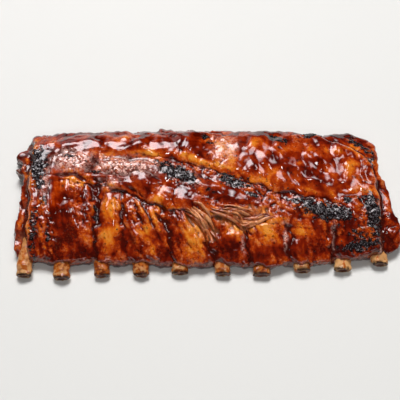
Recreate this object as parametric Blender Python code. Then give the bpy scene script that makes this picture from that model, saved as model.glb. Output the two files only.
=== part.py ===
"""A rack of ten pork ribs, roasted and glazed, lying meat side up.

Metres, +Z up. The cut bone ends point to the front, -Y, and the thick loin side is at the back, +Y.
The slab is one solid: a rounded block whose top, underside and outline are functions of place. Each rib
bone is a solid of its own that runs through the slab from the front in a blind tunnel, with a small gap
round it. The rack rests on two flat strips of the underside, and its origin is under the middle of its box.
"""

import bmesh
import bpy
import numpy as np
from mathutils import Vector

# Outline of the slab in plan, as (place along the other axis, edge).
FRONT_EDGE = [(-0.174, -0.053), (-0.14, -0.056), (-0.06, -0.058), (0.01, -0.06), (0.09, -0.058),
              (0.13, -0.053), (0.174, -0.044)]
BACK_EDGE = [(-0.174, 0.0725), (-0.11, 0.0725), (-0.05, 0.0733), (0.0, 0.0733), (0.06, 0.0723),
             (0.12, 0.071), (0.146, 0.071), (0.174, 0.067)]
LEFT_EDGE = [(-0.06, -0.1755), (-0.035, -0.1745), (-0.01, -0.172), (0.03, -0.169), (0.05, -0.1672),
             (0.061, -0.1635), (0.072, -0.158)]
RIGHT_EDGE = [(-0.06, 0.1765), (-0.034, 0.1755), (-0.01, 0.17), (0.015, 0.1635), (0.025, 0.159),
              (0.045, 0.157), (0.072, 0.156)]

MEAT_HALF_LENGTH = 0.176
MEAT_HALF_DEPTH = 0.063

# Heights over the surface that the rack lies on.
WATERLINE = 0.0085
LEAST_OVER_WATERLINE = 0.0005
CROWN = [(-0.064, 0.019), (-0.045, 0.0235), (-0.015, 0.0265), (0.02, 0.0275), (0.05, 0.0275),
         (0.075, 0.023)]

# The flap of loin meat that lies over the rib meat, and the upper layer on it: the line of each one's lip.
FLAP_LIP = [(-0.176, 0.014), (-0.132, 0.018), (-0.1, 0.011), (-0.073, 0.001), (-0.037, -0.011),
            (0.008, -0.016), (0.057, -0.025), (0.12, -0.034), (0.14, -0.05), (0.176, -0.075)]
FLAP_RISE = 0.005
UPPER_LIP = [(-0.176, 0.052), (-0.1, 0.046), (-0.04, 0.036), (0.008, 0.0245), (0.05, 0.008),
             (0.084, 0.0), (0.13, -0.016), (0.176, -0.03)]
UPPER_RISE = 0.0035
LIP_RUN = 0.006

# Creases between the rib mounds in front of the flap, as (x at the front, x at the flap).
CREASES = [(-0.102, -0.0985), (-0.0625, -0.077), (-0.03, -0.0366), (0.005, -0.0117), (0.038, 0.037),
           (0.0815, 0.073), (0.115, 0.115)]
CREASE_DEPTH = 0.0045
CREASE_WIDTH = 0.0045
CREASE_SHARPNESS = 1.4
MOUNDS_FRONT = -0.058
MOUNDS_BACK = -0.012
UNDER_THE_LIP = 0.006

# The end ribs, where the thick meat is cut back: a low strip of meat, and a groove that bares the bone.
# The right strip runs out under the back of the thick meat.
THICK_FROM = -0.159
THICK_TO = 0.1535
CUT_WALL = 0.004
STRIP_DROP = 0.0095
RIGHT_STRIP_BACK = 0.022
STRIP_RUN_OUT = 0.01
GROOVE_FRONT_OF = {"left": -0.026, "right": 0.002}
GROOVE_RUN_OUT = 0.012
GROOVE_DEPTH = 0.0075
GROOVE_HALF_WIDTH = 0.0035
GROOVE_OFFSET = 0.0045

# Slow unevenness of the top, as (height, waves along the rack, waves across it, where they start).
SWELLS = [(0.0011, 61.0, 53.0, 0.6), (0.0007, 137.0, 89.0, 1.1), (0.0005, 211.0, -149.0, 1.6)]

# Underside: an arch between two flat strips, with a rib of meat under each bone.
ARCH_HALF_SPAN = 0.042
ARCH_RISE = 0.0045
BETWEEN_RIBS_RISE = 0.0016
RIDGE_HALF_WIDTH = 0.005
VALLEY_FROM = 0.014
FLAT_MARGIN = 0.0009

# Rib bones.
BONE_FRONT_X = [-0.1634, -0.1292, -0.0932, -0.058, -0.023, 0.0149, 0.05, 0.086, 0.1229, 0.1562]
BONE_TIP_Y = [-0.0685, -0.071, -0.0685, -0.068, -0.066, -0.067, -0.0675, -0.064, -0.063, -0.0575]
BONE_BACK_Y = 0.05
END_BONE_SHORTER = 0.016
BONE_LEAN = 0.009
END_BONE_LEANS = {0: -0.004, 9: 0.009}
BONE_WIDTH = 0.0135
BONE_THICKNESS = 0.0098
NARROWER_AT_BACK = 0.16
THINNER_AT_BACK = 0.12
TIP_FLARE = 0.07
FLARE_SHARE = 0.06
DIP_SHARE = 0.18
BONE_SIDES = 12
BONE_RINGS = 9
BONE_UNDER_MEAT = 0.0021
TIP_DROP = 0.0016
TIP_BEVEL = 0.0009
BONE_GAP = 0.0003
TUNNEL_PAST_TIP = 0.02

# Mesh of the slab.
STATIONS = 60
TOP_POINTS = 27
UNDER_POINTS = 19
TOP_OVER_WATERLINE = 0.02
END_FACE_SHARE = 0.55
EDGE_ROUNDNESS = 4.5
UNDER_ROUNDNESS = 9.0
END_ROUNDNESS = 15.0


def rise(low, high, at):
    """0 below low, 1 above high, and a smooth step between."""
    t = np.clip((at - low) / (high - low), 0.0, 1.0)
    return t * t * (3.0 - 2.0 * t)


def through(points, at):
    """A smooth curve through (place, value) points: one cubic for each span, flat past the ends."""
    place, value = np.array(points).T
    slope = np.gradient(value, place)
    i = np.clip(np.searchsorted(place, at) - 1, 0, len(place) - 2)
    span = place[i + 1] - place[i]
    t = np.clip((at - place[i]) / span, 0.0, 1.0)
    start = (2.0 * t**3 - 3.0 * t**2 + 1.0) * value[i] + (t**3 - 2.0 * t**2 + t) * span * slope[i]
    end = (3.0 * t**2 - 2.0 * t**3) * value[i + 1] + (t**3 - t**2) * span * slope[i + 1]
    return start + end


def rounded_half(roundness, half_width, height, count):
    """Points spaced evenly along half a superellipse: (across from 1 to -1, share of the full height)."""
    angle = np.linspace(0.0, np.pi, 4001)
    across = np.sign(np.cos(angle)) * np.abs(np.cos(angle)) ** (2.0 / roundness)
    share = np.abs(np.sin(angle)) ** (2.0 / roundness)
    steps = np.hypot(np.diff(across) * half_width, np.diff(share) * height)
    length = np.concatenate([[0.0], np.cumsum(steps)])
    wanted = np.linspace(0.0, length[-1], count)
    share = np.interp(wanted, length, share)
    share[[0, -1]] = 0.0
    return np.interp(wanted, length, across), share


def bone_back(number):
    """Where a bone ends inside the meat: the first and the last stop short of the slab's round corners."""
    at_an_end = number in (0, len(BONE_FRONT_X) - 1)
    return BONE_BACK_Y - (END_BONE_SHORTER if at_an_end else 0.0)


def bone_x(number, y):
    """Where bone `number` runs at this y: the middle ones lean to the left, and the end ones inwards."""
    front = BONE_FRONT_X[number]
    lean = END_BONE_LEANS.get(number, BONE_LEAN * (1.0 - (front / MEAT_HALF_LENGTH) ** 2))
    return front - lean * (y - BONE_TIP_Y[number]) / (BONE_BACK_Y - BONE_TIP_Y[number])


def mounds(x, y):
    """How far the creases sink the rib meat in front of the flap."""
    back = (y - MOUNDS_FRONT) / (MOUNDS_BACK - MOUNDS_FRONT)
    sunk = np.zeros_like(x)
    for front_x, back_x in CREASES:
        away = np.abs(x - (front_x + (back_x - front_x) * back)) / CREASE_WIDTH
        sunk += np.exp(-(away**CREASE_SHARPNESS))
    in_front = 1.0 - rise(0.0, UNDER_THE_LIP, y - through(FLAP_LIP, x))
    return CREASE_DEPTH * sunk * in_front


def end_strips(x, y):
    """How far the meat is cut back over the first and the last rib."""
    left_of = 1.0 - rise(THICK_FROM - CUT_WALL, THICK_FROM, x)
    right_of = rise(THICK_TO, THICK_TO + CUT_WALL, x)
    right_of *= 1.0 - rise(RIGHT_STRIP_BACK - STRIP_RUN_OUT, RIGHT_STRIP_BACK, y)
    drop = STRIP_DROP * (left_of + right_of)
    for number, side in ((0, "left"), (9, "right")):
        inward = GROOVE_OFFSET if side == "left" else -GROOVE_OFFSET
        away = (x - bone_x(number, y) - inward) / GROOVE_HALF_WIDTH
        bared = 1.0 - rise(GROOVE_FRONT_OF[side] - GROOVE_RUN_OUT, GROOVE_FRONT_OF[side], y)
        drop += GROOVE_DEPTH * np.exp(-(away**2)) * bared * (left_of if side == "left" else right_of)
    return drop


def swells(x, y):
    return sum(high * np.sin(along * x + across * y + start) for high, along, across, start in SWELLS)


def top_height(x, y):
    """The meat's top: a crown, the two lips over it, the rib mounds in front, and the end ribs cut low."""
    height = through(CROWN, y)
    height += FLAP_RISE * rise(0.0, LIP_RUN, y - through(FLAP_LIP, x))
    height += UPPER_RISE * rise(0.0, LIP_RUN, y - through(UPPER_LIP, x))
    height += swells(x, y) - mounds(x, y) - end_strips(x, y)
    return np.maximum(height, WATERLINE + LEAST_OVER_WATERLINE)


def under_arch(y):
    return ARCH_RISE * np.clip(1.0 - (y / ARCH_HALF_SPAN) ** 2, 0.0, None)


def under_height(x, y):
    """The underside: flat near the front and the back, arched between, and lower under each bone."""
    arch = under_arch(y)
    nearest = np.min([np.abs(x - bone_x(n, y)) for n in range(len(BONE_FRONT_X))], axis=0)
    between = BETWEEN_RIBS_RISE * rise(RIDGE_HALF_WIDTH, VALLEY_FROM, nearest) * arch / ARCH_RISE
    return arch + between - FLAT_MARGIN


def new_object(name, points, faces, material):
    mesh = bpy.data.meshes.new(name)
    mesh.from_pydata([tuple(p) for p in points], [], faces)
    mesh.materials.append(material)
    mesh.shade_smooth()
    made = bpy.data.objects.new(name, mesh)
    bpy.context.scene.collection.objects.link(made)
    return made


def new_material(name, colour, roughness):
    material = bpy.data.materials.new(name)
    material.use_nodes = True
    shader = material.node_tree.nodes["Principled BSDF"]
    shader.inputs["Base Color"].default_value = (*colour, 1.0)
    shader.inputs["Roughness"].default_value = roughness
    shader.inputs["Metallic"].default_value = 0.0
    return material


def ring_faces(rings, sides):
    """Quads between rings that follow each other; the two ends stay open."""
    faces = []
    for ring in range(rings - 1):
        for side in range(sides):
            after = (side + 1) % sides
            a, b = ring * sides, (ring + 1) * sides
            faces.append((a + side, a + after, b + after, b + side))
    return faces


def face_outwards(made):
    shape = bmesh.new()
    shape.from_mesh(made.data)
    bmesh.ops.recalc_face_normals(shape, faces=shape.faces)
    shape.to_mesh(made.data)
    shape.free()


def make_slab(material):
    """The slab's skin: a closed section for each station, shrinking to a point at both ends."""
    half_depth, end_face = MEAT_HALF_DEPTH, MEAT_HALF_DEPTH * END_FACE_SHARE
    across_top, share_top = rounded_half(EDGE_ROUNDNESS, half_depth, TOP_OVER_WATERLINE, TOP_POINTS)
    across_under, share_under = rounded_half(UNDER_ROUNDNESS, half_depth, WATERLINE, UNDER_POINTS)
    along, shrink = rounded_half(END_ROUNDNESS, MEAT_HALF_LENGTH, end_face, STATIONS)
    across = np.concatenate([across_top, -across_under[1:-1]])
    share = np.concatenate([share_top, share_under[1:-1]])
    on_top = np.arange(len(across)) < TOP_POINTS

    a, c = np.meshgrid(-along[1:-1], across, indexing="ij")
    small = shrink[1:-1, None]
    front = through(FRONT_EDGE, a * MEAT_HALF_LENGTH)
    back = through(BACK_EDGE, a * MEAT_HALF_LENGTH)
    y = (front + back) / 2.0 + (back - front) / 2.0 * c * small
    left, right = through(LEFT_EDGE, y), through(RIGHT_EDGE, y)
    x = (left + right) / 2.0 + (right - left) / 2.0 * a
    full = np.where(on_top, top_height(x, y), under_height(x, y))
    z = np.maximum(WATERLINE + (full - WATERLINE) * share * small, 0.0)

    points = list(np.stack([x, y, z], axis=-1).reshape(-1, 3))
    rings, sides = x.shape
    faces = ring_faces(rings, sides)
    for end, first in ((-1, 0), (1, (rings - 1) * sides)):
        tip_y = sum(float(through(line, end * MEAT_HALF_LENGTH)) for line in (FRONT_EDGE, BACK_EDGE)) / 2.0
        edge = LEFT_EDGE if end < 0 else RIGHT_EDGE
        points.append((float(through(edge, tip_y)), tip_y, WATERLINE))
        tip = len(points) - 1
        faces += [(first + side, first + (side + 1) % sides, tip) for side in range(sides)]
    made = new_object("meat", points, faces, material)
    face_outwards(made)
    return made


def bone_points(number, grow, front_extra):
    """Rings of a rib bone: an oval rod that narrows to the back, follows the arch and dips at its tip."""
    tip = BONE_TIP_Y[number]
    y = np.linspace(tip, bone_back(number) + grow, BONE_RINGS)
    if front_extra:
        y = np.concatenate([[tip - front_extra], y])
    back = np.clip((y - tip) / (BONE_BACK_Y - tip), 0.0, 1.0)
    flare = 1.0 + TIP_FLARE * np.exp(-back / FLARE_SHARE)
    half_width = (BONE_WIDTH / 2.0) * (1.0 - NARROWER_AT_BACK * back) * flare + grow
    half_thick = (BONE_THICKNESS / 2.0) * (1.0 - THINNER_AT_BACK * back) * flare + grow
    centre_x = bone_x(number, np.maximum(y, tip))
    dip = TIP_DROP * (1.0 - rise(0.0, DIP_SHARE, back))
    centre_z = under_arch(y) + BONE_UNDER_MEAT + BONE_THICKNESS / 2.0 - dip
    angle = np.linspace(0.0, 2.0 * np.pi, BONE_SIDES, endpoint=False)
    x = centre_x[:, None] + half_width[:, None] * np.cos(angle)
    z = centre_z[:, None] + half_thick[:, None] * np.sin(angle)
    return np.stack([x, np.broadcast_to(y[:, None], x.shape), z], axis=-1).reshape(-1, 3), len(y)


def capped_rod(points, rings):
    """Faces of a rod of rings, closed by a flat face at each end."""
    faces = ring_faces(rings, BONE_SIDES)
    faces.append(tuple(range(BONE_SIDES)))
    faces.append(tuple((rings - 1) * BONE_SIDES + side for side in range(BONE_SIDES)))
    return list(points), faces


def make_bone(number, material):
    points, faces = capped_rod(*bone_points(number, 0.0, 0.0))
    made = new_object(f"bone_{number + 1:02d}", points, faces, material)
    face_outwards(made)
    shape = bmesh.new()
    shape.from_mesh(made.data)
    rim = [edge for edge in shape.edges if all(v.index < BONE_SIDES for v in edge.verts)]
    bmesh.ops.bevel(shape, geom=rim, offset=TIP_BEVEL, segments=1, affect="EDGES")
    shape.to_mesh(made.data)
    shape.free()
    return made


def make_tunnels(material):
    """One cutter of ten rods, each a bone with a gap round it that runs out past its tip."""
    points, faces = [], []
    for number in range(len(BONE_FRONT_X)):
        rod, rod_faces = capped_rod(*bone_points(number, BONE_GAP, TUNNEL_PAST_TIP))
        start = len(points)
        points += rod
        faces += [tuple(start + corner for corner in face) for face in rod_faces]
    made = new_object("tunnels", points, faces, material)
    face_outwards(made)
    made.hide_render = True
    made.display_type = "WIRE"
    return made


def cut(target, cutter):
    boolean = target.modifiers.new("bone tunnels", "BOOLEAN")
    boolean.operation = "DIFFERENCE"
    boolean.solver = "EXACT"
    boolean.object = cutter


def centre_on_origin(pieces):
    """Moves every mesh so that the origin is under the middle of the whole rack's box."""
    shown = [made for made in pieces if not made.hide_render]
    corners = np.array([made.matrix_world @ Vector(c) for made in shown for c in made.bound_box])
    low, high = corners.min(axis=0), corners.max(axis=0)
    shift = Vector((-(low[0] + high[0]) / 2.0, -(low[1] + high[1]) / 2.0, -low[2]))
    for made in pieces:
        for vertex in made.data.vertices:
            vertex.co += shift


def main():
    for old in list(bpy.data.objects):
        bpy.data.objects.remove(old)
    meat_look = new_material("glazed meat", (0.3, 0.07, 0.02), 0.28)
    bone_look = new_material("roasted bone", (0.55, 0.36, 0.18), 0.5)
    slab = make_slab(meat_look)
    bones = [make_bone(number, bone_look) for number in range(len(BONE_FRONT_X))]
    tunnels = make_tunnels(bone_look)
    bpy.context.view_layer.update()
    centre_on_origin([slab, tunnels, *bones])
    cut(slab, tunnels)


main()
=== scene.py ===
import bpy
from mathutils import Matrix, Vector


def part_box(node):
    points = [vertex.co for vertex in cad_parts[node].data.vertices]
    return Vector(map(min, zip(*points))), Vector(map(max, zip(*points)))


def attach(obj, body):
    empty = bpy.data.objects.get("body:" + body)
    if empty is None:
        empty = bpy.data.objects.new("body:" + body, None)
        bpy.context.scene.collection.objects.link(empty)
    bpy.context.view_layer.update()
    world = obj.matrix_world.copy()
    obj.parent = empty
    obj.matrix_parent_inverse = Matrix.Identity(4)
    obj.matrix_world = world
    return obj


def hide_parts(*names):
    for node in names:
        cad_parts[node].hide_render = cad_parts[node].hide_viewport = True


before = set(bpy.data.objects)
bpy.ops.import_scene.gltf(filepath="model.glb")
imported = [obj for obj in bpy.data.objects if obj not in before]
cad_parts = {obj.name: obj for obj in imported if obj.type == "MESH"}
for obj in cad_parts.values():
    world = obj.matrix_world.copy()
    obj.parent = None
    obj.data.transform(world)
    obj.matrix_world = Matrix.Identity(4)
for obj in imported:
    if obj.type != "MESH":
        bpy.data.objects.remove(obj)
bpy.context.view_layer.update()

from types import SimpleNamespace
import bpy
import numpy as np
from mathutils import Vector

low, high = (np.array(corner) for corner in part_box("meat"))
middle = (low + high) / 2
half = (high - low) / 2
boneNodes = sorted(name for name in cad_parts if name.startswith("bone_"))
print("frame loaded:", len(boneNodes), "bones")

# Places on the rack are given as (u, v): u runs from -1 at the left end to 1 at the right end, and v from -1
# along the front edge, where the bones stand out, to 1 along the back edge. Sizes are in metres.


# The shares (u, v) of a place (x, y).
def shares(x, y):
    return (x - middle[0]) / half[0], (y - middle[1]) / half[1]


# A smooth step: 0 below start, 1 above end.
def rise(start, end, value):
    t = np.clip((value - start) / (end - start), 0, 1)
    return t * t * (3 - 2 * t)


# A bell curve: 1 at the peak, and 0.37 one width away from it.
def bell(value, peak, width):
    return np.exp(-(((value - peak) / width) ** 2))


# A smooth curve through (place, value) points: one cubic for each span, flat past the ends.
def through(points, at):
    place, value = np.array(points, float).T
    slope = np.gradient(value, place)
    i = np.clip(np.searchsorted(place, at) - 1, 0, len(place) - 2)
    span = place[i + 1] - place[i]
    t = np.clip((at - place[i]) / span, 0, 1)
    first = (2 * t**3 - 3 * t**2 + 1) * value[i] + (t**3 - 2 * t**2 + t) * span * slope[i]
    last = (3 * t**2 - 2 * t**3) * value[i + 1] + (t**3 - t**2) * span * slope[i + 1]
    return first + last


# The larger of two fields, rounded over where they are closer than blend.
def smoothMax(a, b, blend):
    h = np.clip(0.5 + 0.5 * (a - b) / blend, 0, 1)
    return b + (a - b) * h + blend * h * (1 - h)


# One mixed whole number for each lattice corner.
def mixed(cell, seed):
    total = cell[..., 0] * 374761393 + cell[..., 1] * 668265263 + cell[..., 2] * 1442695041
    total = (total + seed * 1013904223) & 0xFFFFFFFF
    total = ((total ^ (total >> 13)) * 1274126177) & 0xFFFFFFFF
    return total ^ (total >> 16)


# Gradient noise of about -1 to 1: every lattice corner has a random slope, and a point blends the slopes of
# the eight corners round it with a quintic step. Size is one cell's size, for each axis or for all.
def gradientNoise(points, size, seed):
    scaled = points / size
    cell = np.floor(scaled).astype(np.int64)
    part = scaled - cell
    step = part**3 * (part * (part * 6 - 15) + 10)
    total = np.zeros(points.shape[:-1])
    for corner in np.ndindex(2, 2, 2):
        bits = mixed(cell + np.array(corner), seed)
        weight = np.prod(np.where(corner, step, 1 - step), axis=-1)
        slope = np.stack([bits & 1023, (bits >> 10) & 1023, (bits >> 20) & 1023], axis=-1) / 511.5 - 1
        total += weight * np.sum(slope * (part - corner), axis=-1)
    return total * 1.5


# Octaves of gradient noise, each half the size and keep times the strength of the one before.
def noise(points, size, seed, octaves=3, keep=0.5):
    total = np.zeros(points.shape[:-1])
    for octave in range(octaves):
        total += keep**octave * gradientNoise(points, np.array(size) * 0.5**octave, seed + 17 * octave)
    return total


# Each value averaged with its neighbours along the loop and along the rack, several times over.
def smoothed(field, times):
    for _ in range(times):
        field = (np.roll(field, 1, 1) + 2 * field + np.roll(field, -1, 1)) / 4
        ends = np.concatenate([field[:1], field, field[-1:]])
        field = (ends[:-2] + 2 * ends[1:-1] + ends[2:]) / 4
    return field


# How far each place is from an oval's middle, squared: 1 on its rim. An oval is its middle's u
# and v, its half length and half width, and its turn in degrees.
def fromOval(x, y, u, v, longHalf, shortHalf, turn):
    dx, dy = x - middle[0] - u * half[0], y - middle[1] - v * half[1]
    c, s = np.cos(np.radians(turn)), np.sin(np.radians(turn))
    return ((dx * c + dy * s) / longHalf) ** 2 + ((dy * c - dx * s) / shortHalf) ** 2


# How deep a place lies in a list of soft ovals, each with a strength last: the strength in an oval's middle,
# falling away as a bell, and the largest counts.
def ovals(x, y, marks):
    total = np.zeros_like(x)
    for *oval, strength in marks:
        total = np.maximum(total, strength * np.exp(-(fromOval(x, y, *oval) ** 1.5)))
    return total


# The slab's outline: (u, v) along the front and back edge, and (v, u) along both ends. Its
# crown is (v, height).
slab = {
    "frontEdge": [
        (-1, -0.895), (-0.8, -0.94), (-0.34, -0.97), (0.06, -1), (0.52, -0.97), (0.75, -0.9), (1, -0.76),
    ],
    "backEdge": [
        (-1, 1), (-0.63, 0.995), (-0.29, 1), (0, 1), (0.34, 0.985), (0.69, 0.965), (0.84, 0.965), (1, 0.92),
    ],
    "leftEdge": [
        (-1, -0.99), (-0.82, -1.015), (-0.7, -0.99), (-0.45, -0.995), (-0.24, -0.982), (0.2, -0.976),
        (0.31, -0.975), (0.38, -1.012), (0.45, -0.985), (0.52, -0.98), (0.585, -1.022), (0.66, -0.985),
        (0.84, -0.955), (0.97, -0.925),
    ],
    "rightEdge": [
        (-1, 1.02), (-0.6, 1.012), (-0.24, 0.98), (0.13, 0.943), (0.28, 0.915), (0.6, 0.905), (0.97, 0.9),
    ],
    "waterline": 0.0085,
    "leastOverIt": 0.0005,
    "usualHeight": 0.02,
    "crown": [
        (-1.06, 0.0155), (-0.9, 0.0186), (-0.7, 0.0222), (-0.5, 0.0245), (-0.32, 0.0262), (0.2, 0.0266),
        (0.65, 0.0263), (1.02, 0.0215),
    ],
    "edgeRoundness": 4.2,
    "underRoundness": 9,
    "endRoundness": 15,
    "endFaceShare": 0.55,
    "archHalfSpan": 0.042,
    "archRise": 0.0045,
}
# Lips are where a layer of meat begins, as a line of (u, v). Behind it the top stands higher by the rise at
# u. The band's line is where the thick meat ends at the back right, and behind it the top is a step lower.
lips = {
    "flap": [
        (-1.02, 0.1), (-0.886, 0.149), (-0.757, 0.178), (-0.628, 0.1), (-0.524, 0.07), (-0.421, -0.03),
        (-0.292, -0.18), (-0.214, -0.25), (-0.085, -0.297), (0.044, -0.342), (0.225, -0.386),
        (0.328, -0.466), (0.483, -0.521), (0.69, -0.595), (0.87, -0.803), (1.02, -1.196),
    ],
    "flapRise": [
        (-1, 0.001), (-0.8, 0.0014), (-0.6, 0.0034), (-0.4, 0.005), (-0.2, 0.004), (0.05, 0.003),
        (0.25, 0.0024), (0.4, 0.0014), (0.7, 0.0012), (0.85, 0.001), (1, 0.001),
    ],
    "flapRun": 0.008,
    "upper": [
        (-1.02, 0.718), (-0.6, 0.591), (-0.214, 0.477), (0.044, 0.283), (0.287, 0.041), (0.483, -0.074),
        (0.62, -0.136), (0.8, -0.332), (1.02, -0.548),
    ],
    "upperRise": [
        (-1, 0), (-0.5, 0.0005), (-0.2, 0.0028), (0.1, 0.0036), (0.5, 0.003), (0.65, 0.0015), (0.8, 0.0005),
        (1, 0),
    ],
    "upperRun": 0.0075,
    "band": [
        (0.3, 0.97), (0.5, 0.93), (0.586, 0.86), (0.69, 0.7), (0.78, 0.61), (0.84, 0.48), (0.866, 0.38),
        (0.882, 0.2), (0.9, 0),
    ],
    "overhang": 0.0016,
    "overhangFrom": 0.0015,
    "overhangRun": 0.0022,
    "usualRise": 0.005,
    "wanderSize": 0.014,
    "wander": 0.003,
}
# The outer band at the back right corner, a step below the thick meat.
band = {
    "step": 0.003,
    "run": 0.0022,
    "fromU": (0.3, 0.5),
    "fromV": (0.1, 0.25),
    "wander": 0.5,
}
# Creases between the rib mounds as (u at the front, u at the flap, depth). The first and last
# lie off the ends.
mounds = {
    "creases": [
        (-1.06, -1.06, 0.002), (-0.57, -0.565, 0.0046), (-0.395, -0.44, 0.0024), (-0.183, -0.235, 0.003),
        (0.055, -0.06, 0.0045), (0.22, 0.2, 0.0034), (0.44, 0.4, 0.0032), (0.657, 0.66, 0.0044),
        (1.06, 1.06, 0.002),
    ],
    "frontV": -0.97,
    "backV": -0.28,
    "squareness": 2.3,
    "domeShare": 0.6,
    "valleyShare": 0.5,
    "valleyHalfWidth": 0.0042,
    "underFlap": (-0.02, 0.12),
    "wander": 1.5,
}
# Bulges of muscle, as ovals with a height. Fullness under 1 fills out their sides.
bulges = {
    "fullness": 0.85,
    "blend": 0.0005,
    "ovals": [
        (-0.42, 0.33, 0.03, 0.0095, -6, 0.0036), (-0.7, 0.43, 0.019, 0.0125, 4, 0.0032),
        (-0.7, 0.06, 0.0125, 0.0125, 12, 0.0034), (-0.85, 0.03, 0.0055, 0.016, 0, 0.002),
        (-0.855, 0.17, 0.0065, 0.014, -6, 0.0028), (-0.5, 0.065, 0.0115, 0.0075, -8, 0.0024),
        (-0.32, 0.13, 0.017, 0.01, -30, 0.0026), (0.08, -0.038, 0.05, 0.011, -20, 0.0014),
        (0.56, -0.312, 0.036, 0.011, -14, 0.0016), (0.45, 0.38, 0.075, 0.028, -14, 0.0022),
        (-0.095, 0.72, 0.0155, 0.012, -8, 0.0036), (0.77, -0.46, 0.012, 0.024, 5, 0.002),
        (-0.49, -0.2, 0.011, 0.02, 4, 0.0016), (-0.49, -0.62, 0.01, 0.02, -8, 0.0016),
        (-0.32, -0.4, 0.024, 0.0044, -64, 0.0026), (-0.36, -0.7, 0.018, 0.0045, -68, 0.002),
        (-0.235, -0.55, 0.024, 0.004, -66, 0.0026), (-0.1, -0.55, 0.026, 0.0065, -66, 0.0024),
        (-0.03, -0.75, 0.014, 0.0055, -68, 0.002), (0.135, -0.6, 0.013, 0.014, 0, 0.0022),
        (0.33, -0.62, 0.014, 0.02, 0, 0.0012), (0.545, -0.58, 0.018, 0.02, 0, 0.001),
        (-0.78, -0.35, 0.008, 0.03, 0, 0.0012), (-0.66, -0.5, 0.008, 0.026, 4, 0.0012),
        (-0.84, -0.55, 0.006, 0.022, 0, 0.001), (-0.61, -0.25, 0.005, 0.02, 6, 0.0012),
        (0.13, -0.24, 0.02, 0.006, -28, 0.0012), (-0.66, 0.77, 0.022, 0.0115, 10, 0.0013),
        (-0.47, 0.77, 0.013, 0.009, -4, 0.0013), (-0.355, 0.7, 0.0185, 0.0065, 42, 0.0017),
        (-0.22, 0.68, 0.019, 0.0115, -20, 0.0015), (-0.78, 0.62, 0.009, 0.008, 0, 0.001),
        (0.1, 0.72, 0.016, 0.008, 65, 0.0018), (0.23, 0.62, 0.021, 0.0075, 66, 0.0025),
        (0.375, 0.66, 0.02, 0.008, 58, 0.0026), (0.4, 0.38, 0.02, 0.007, 62, 0.0022),
        (0.52, 0.5, 0.019, 0.007, 58, 0.0024), (0.575, 0.26, 0.015, 0.006, 62, 0.002),
        (0.68, 0.56, 0.016, 0.0065, 70, 0.0019), (0.75, 0.3, 0.017, 0.006, 76, 0.0022),
        (0.83, 0.3, 0.012, 0.0045, 84, 0.0014), (0.24, 0.3, 0.018, 0.0065, 54, 0.002),
        (-0.945, 0.55, 0.006, 0.009, 0, 0.0022), (-0.95, 0.2, 0.006, 0.011, 10, 0.002),
        (-0.945, -0.1, 0.006, 0.008, 0, 0.0016), (-0.975, -0.75, 0.005, 0.007, 0, 0.003),
        (0.945, -0.3, 0.008, 0.012, 0, 0.0016), (0.975, -0.58, 0.007, 0.008, 0, 0.003),
        (-0.965, 0.38, 0.004, 0.006, 0, 0.002), (-0.96, -0.4, 0.005, 0.014, -6, 0.0016),
    ],
}
# Hollows torn or sunk into the meat, as ovals with a depth.
hollows = [
    (0.022, -0.555, 0.004, 0.009, 12, 0.0042), (0.26, -0.42, 0.011, 0.0034, 0, 0.003),
    (0.14, -0.29, 0.007, 0.0022, -8, 0.0022), (-0.07, -0.45, 0.003, 0.009, 40, 0.002),
    (-0.567, -0.3, 0.0025, 0.012, 0, 0.002), (-0.37, -0.05, 0.014, 0.0024, -34, 0.0024),
    (-0.45, 0.47, 0.026, 0.0055, -5, 0.0018), (-0.595, 0.4, 0.0045, 0.011, -28, 0.0026),
    (-0.575, 0.82, 0.0045, 0.008, 50, 0.0013), (-0.13, 0.6, 0.003, 0.01, -20, 0.001),
    (-0.755, 0.235, 0.012, 0.0018, 0, 0.0018), (-0.655, 0.18, 0.008, 0.002, -28, 0.002),
    (-0.53, 0.14, 0.017, 0.0026, -6, 0.0015), (-0.785, 0.12, 0.0055, 0.03, 2, 0.0008),
    (-0.6, 0.02, 0.0025, 0.009, 10, 0.0012), (0.62, -0.55, 0.0022, 0.01, 0, 0.002),
]
# The meat is cut low at both ends. A groove there bares the end bone, and the cut wall waves
# as (size, waves).
ends = {
    "thickFrom": -0.912,
    "thickTo": 0.882,
    "wall": 0.005,
    "waves": [(0.006, 9), (0.004, 23)],
    "drop": 0.0095,
    "rightStripBack": (0.08, 0.24),
    "grooveFrontOf": (-0.42, -0.1),
    "grooveDepth": 0.0075,
    "grooveHalfWidth": 0.0035,
    "grooveWidens": 1.1,
    "grooveInwards": 0.0045,
    "grooveRun": 0.012,
}
# A bone's greatest width and thickness, and how it lies in the meat.
bone = {
    "width": 0.0135,
    "thickness": 0.0098,
    "tipFlare": 0.07,
    "flareRun": 0.06,
    "narrowerAtBack": 0.16,
    "thinnerAtBack": 0.12,
    "underMeat": 0.0021,
    "tipDrop": 0.0016,
    "dropRun": 0.18,
}


# The arch of the underside: a parabola between the two strips that the rack rests on.
def underArch(y):
    return slab["archRise"] * np.clip(1 - (y / slab["archHalfSpan"]) ** 2, 0, None)


# A bone's front and back end, from its box in the frame: the first bone leans right, the others left.
def boneEnds(name):
    lowCorner, highCorner = (np.array(corner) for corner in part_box(name))
    frontHalf = bone["width"] / 2 * (1 + bone["tipFlare"])
    backHalf = bone["width"] / 2 * (1 - bone["narrowerAtBack"])
    if name == boneNodes[0]:
        return (lowCorner[0] + frontHalf, lowCorner[1]), (highCorner[0] - backHalf, highCorner[1])
    return (highCorner[0] - frontHalf, lowCorner[1]), (lowCorner[0] + backHalf, highCorner[1])


# Where a bone's middle line runs at this y.
def boneX(name, y):
    (frontX, frontY), (backX, backY) = boneEnds(name)
    return frontX + (backX - frontX) * (y - frontY) / (backY - frontY)


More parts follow.
